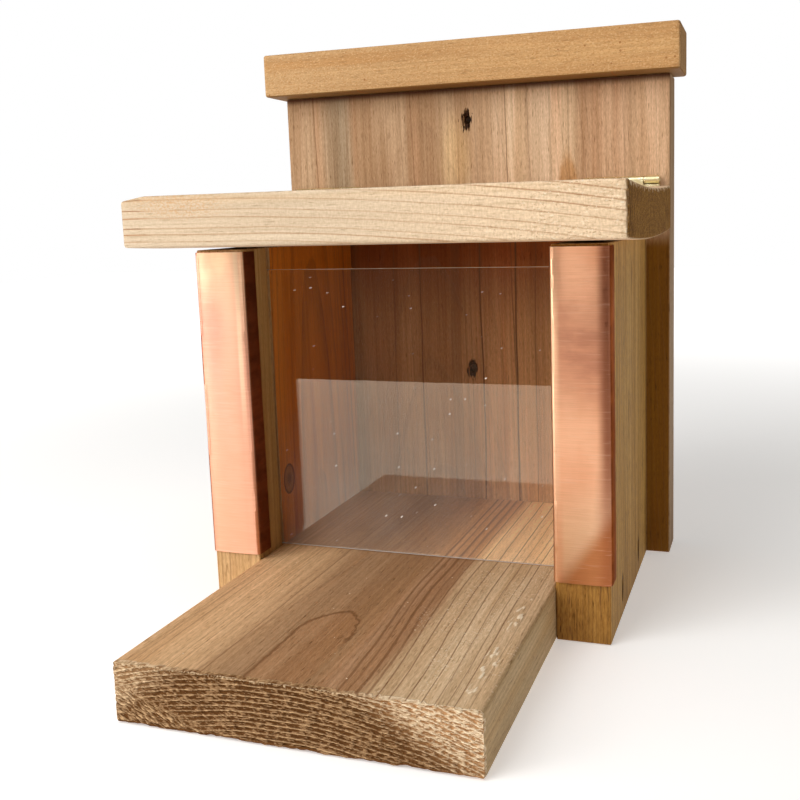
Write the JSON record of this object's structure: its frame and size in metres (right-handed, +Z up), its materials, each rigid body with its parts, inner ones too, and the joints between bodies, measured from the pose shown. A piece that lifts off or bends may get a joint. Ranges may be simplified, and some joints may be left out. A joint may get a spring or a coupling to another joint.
{
  "type": "squirrel feeder box",
  "caption": "Cedar box feeder with a front platform, a hinged cupped lid, a sliding clear pane and copper channels on its side panels, for screwing to a wall, post or tree.",
  "frame": {"origin": "on the ground, under the middle of the whole object's box", "axes": "+X to the right seen from the front, +Y from the front to the back board, +Z up"},
  "size_m": [0.223, 0.2444, 0.2685],
  "materials": {
    "cedar": "planed and bare, with dark latewood lines",
    "cedar_cap": "planed and bare, golden tan with fine specks",
    "cedar_lid": "planed and bare, pale straw with thin latewood lines",
    "clear_acrylic": "clear and glossy, with specks of dust",
    "copper": "satin copper, finely brushed across",
    "brass": "bright plated brass",
    "nail_steel": "dull dark steel"
  },
  "bodies": {
    "box": {"back_board": "cedar", "top_cap": "cedar_cap", "floor_board": "cedar", "left_side_panel": "cedar", "right_side_panel": "cedar", "left_copper_edge": "copper", "right_copper_edge": "copper", "left_back_leaf": "brass", "right_back_leaf": "brass", "left_hinge_pin": "brass", "right_hinge_pin": "brass", "back_leaf_screws": "brass", "floor_nails": "nail_steel", "back_nails": "nail_steel", "cap_nails": "nail_steel", "copper_tacks": "copper"},
    "lid": {"lid": "cedar_lid", "left_lid_leaf": "brass", "right_lid_leaf": "brass", "lid_leaf_screws": "brass"},
    "pane": {"window_pane": "clear_acrylic"}
  },
  "joints": [
    {"name": "lid_hinge", "type": "hinge", "parent": "box", "child": "lid", "pos_m": [0, 0.09885, 0.1943], "axis": [-1, 0, 0], "range_deg": [0, 83]},
    {"name": "pane_slide", "type": "slide", "parent": "box", "child": "pane", "axis": [0, 0, 1], "range_m": [0, 0.01]}
  ]
}
